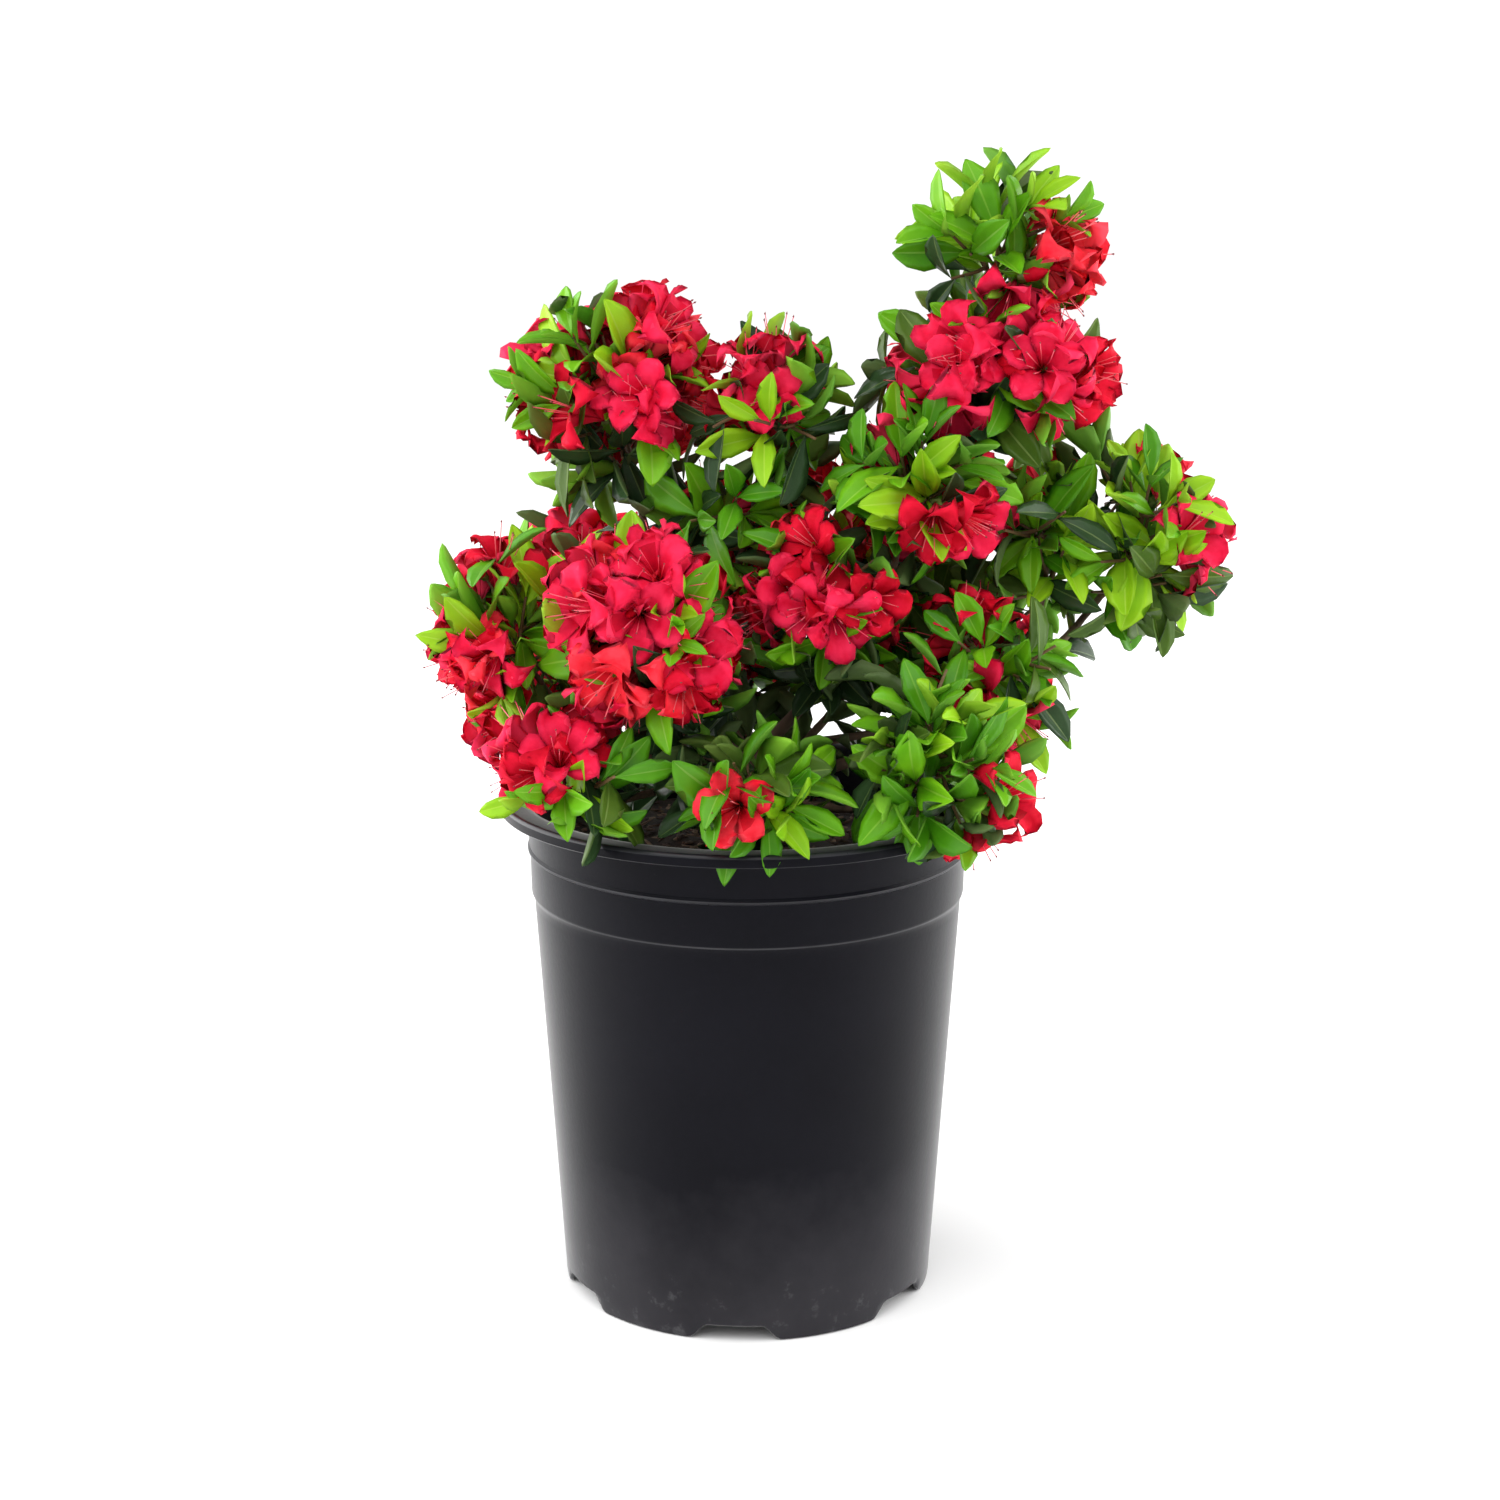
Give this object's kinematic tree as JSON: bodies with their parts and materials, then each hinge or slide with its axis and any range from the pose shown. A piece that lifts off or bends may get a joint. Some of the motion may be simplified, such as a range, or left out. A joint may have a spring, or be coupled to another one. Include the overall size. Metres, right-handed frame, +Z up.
{
  "type": "potted azalea shrub",
  "caption": "Azalea shrub in full flower in a round black nursery pot: a short trunk, thin boughs and loose leafy heads of red funnel flowers, with one tall shoot and one long side shoot.",
  "frame": {"origin": "the middle of the pot's flat underside, at ground level", "axes": "+Z up; -Y is the front, which faces the viewer in the picture; +X is to that viewer's right"},
  "size_m": [0.3558, 0.2465, 0.5146],
  "materials": {
    "pot_plastic": "satin black moulded plastic, dusty near the ground",
    "potting_mix": "moist dark bark mix",
    "bark": "thin grey-brown bark",
    "leaves_and_flowers": "soft petals and semi-gloss leaves"
  },
  "bodies": {
    "root": {"bough_back_left": "bark", "bough_back_mid": "bark", "bough_back_right": "bark", "bough_centre": "bark", "bough_centre_upper": "bark", "bough_foot_centre": "bark", "bough_foot_left": "bark", "bough_front_right": "bark", "bough_inner_top": "bark", "bough_left_far": "bark", "bough_left_front": "bark", "bough_mid_right": "bark", "bough_right_inner": "bark", "bough_right_tip": "bark", "bough_right_under": "bark", "bough_side_left": "bark", "bough_side_right": "bark", "bough_top_collar": "bark", "bough_top_crown": "bark", "bough_upper_left": "bark", "bough_upper_mid": "bark", "foliage_back_left": "leaves_and_flowers", "foliage_back_mid": "leaves_and_flowers", "foliage_back_right": "leaves_and_flowers", "foliage_centre": "leaves_and_flowers", "foliage_centre_upper": "leaves_and_flowers", "foliage_foot_centre": "leaves_and_flowers", "foliage_foot_left": "leaves_and_flowers", "foliage_front_right": "leaves_and_flowers", "foliage_inner_top": "leaves_and_flowers", "foliage_left_far": "leaves_and_flowers", "foliage_left_front": "leaves_and_flowers", "foliage_mid_right": "leaves_and_flowers", "foliage_right_inner": "leaves_and_flowers", "foliage_right_tip": "leaves_and_flowers", "foliage_right_under": "leaves_and_flowers", "foliage_side_left": "leaves_and_flowers", "foliage_side_right": "leaves_and_flowers", "foliage_top_collar": "leaves_and_flowers", "foliage_top_crown": "leaves_and_flowers", "foliage_upper_left": "leaves_and_flowers", "foliage_upper_mid": "leaves_and_flowers", "pot": "pot_plastic", "potting_mix": "potting_mix", "trunk": "bark"}
  },
  "joints": []
}
